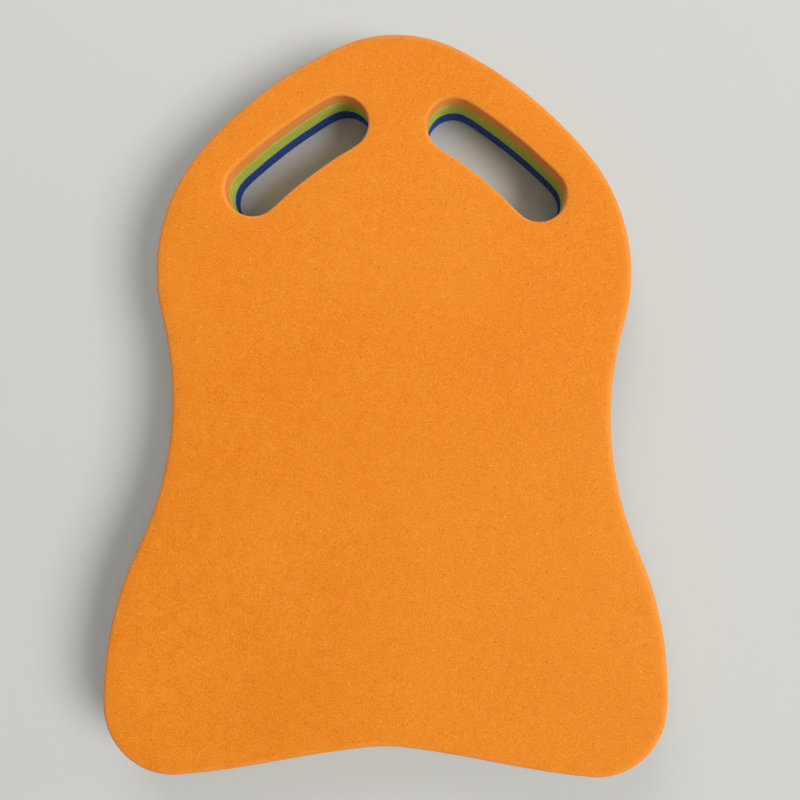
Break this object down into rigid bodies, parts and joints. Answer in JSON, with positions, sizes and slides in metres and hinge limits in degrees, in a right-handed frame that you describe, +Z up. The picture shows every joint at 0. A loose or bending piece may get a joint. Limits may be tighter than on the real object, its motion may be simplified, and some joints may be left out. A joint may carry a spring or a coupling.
{
  "type": "kickboard float",
  "caption": "Flat laminated foam swimming float with a rounded nose, hollow waist, flared hollow-ended tail and bent hand slots near the nose",
  "frame": {"origin": "middle of the board's outline box on the lower face of the blue sheet, so the board lies flat on z = 0", "axes": "+Z up through the sheets to the orange face; +Y along the board to the nose, so the hollow tail is at -Y; +X to the swimmer's right, and X = 0 is the mirror plane"},
  "size_m": [0.3, 0.4, 0.0381],
  "materials": {
    "blue_foam": "matte",
    "green_foam": "matte",
    "orange_foam": "matte",
    "glue_film": "satin"
  },
  "bodies": {
    "root": {"bottom_sheet": "blue_foam", "lower_glue_film": "glue_film", "core_sheet": "green_foam", "upper_glue_film": "glue_film", "top_sheet": "orange_foam"}
  },
  "joints": []
}
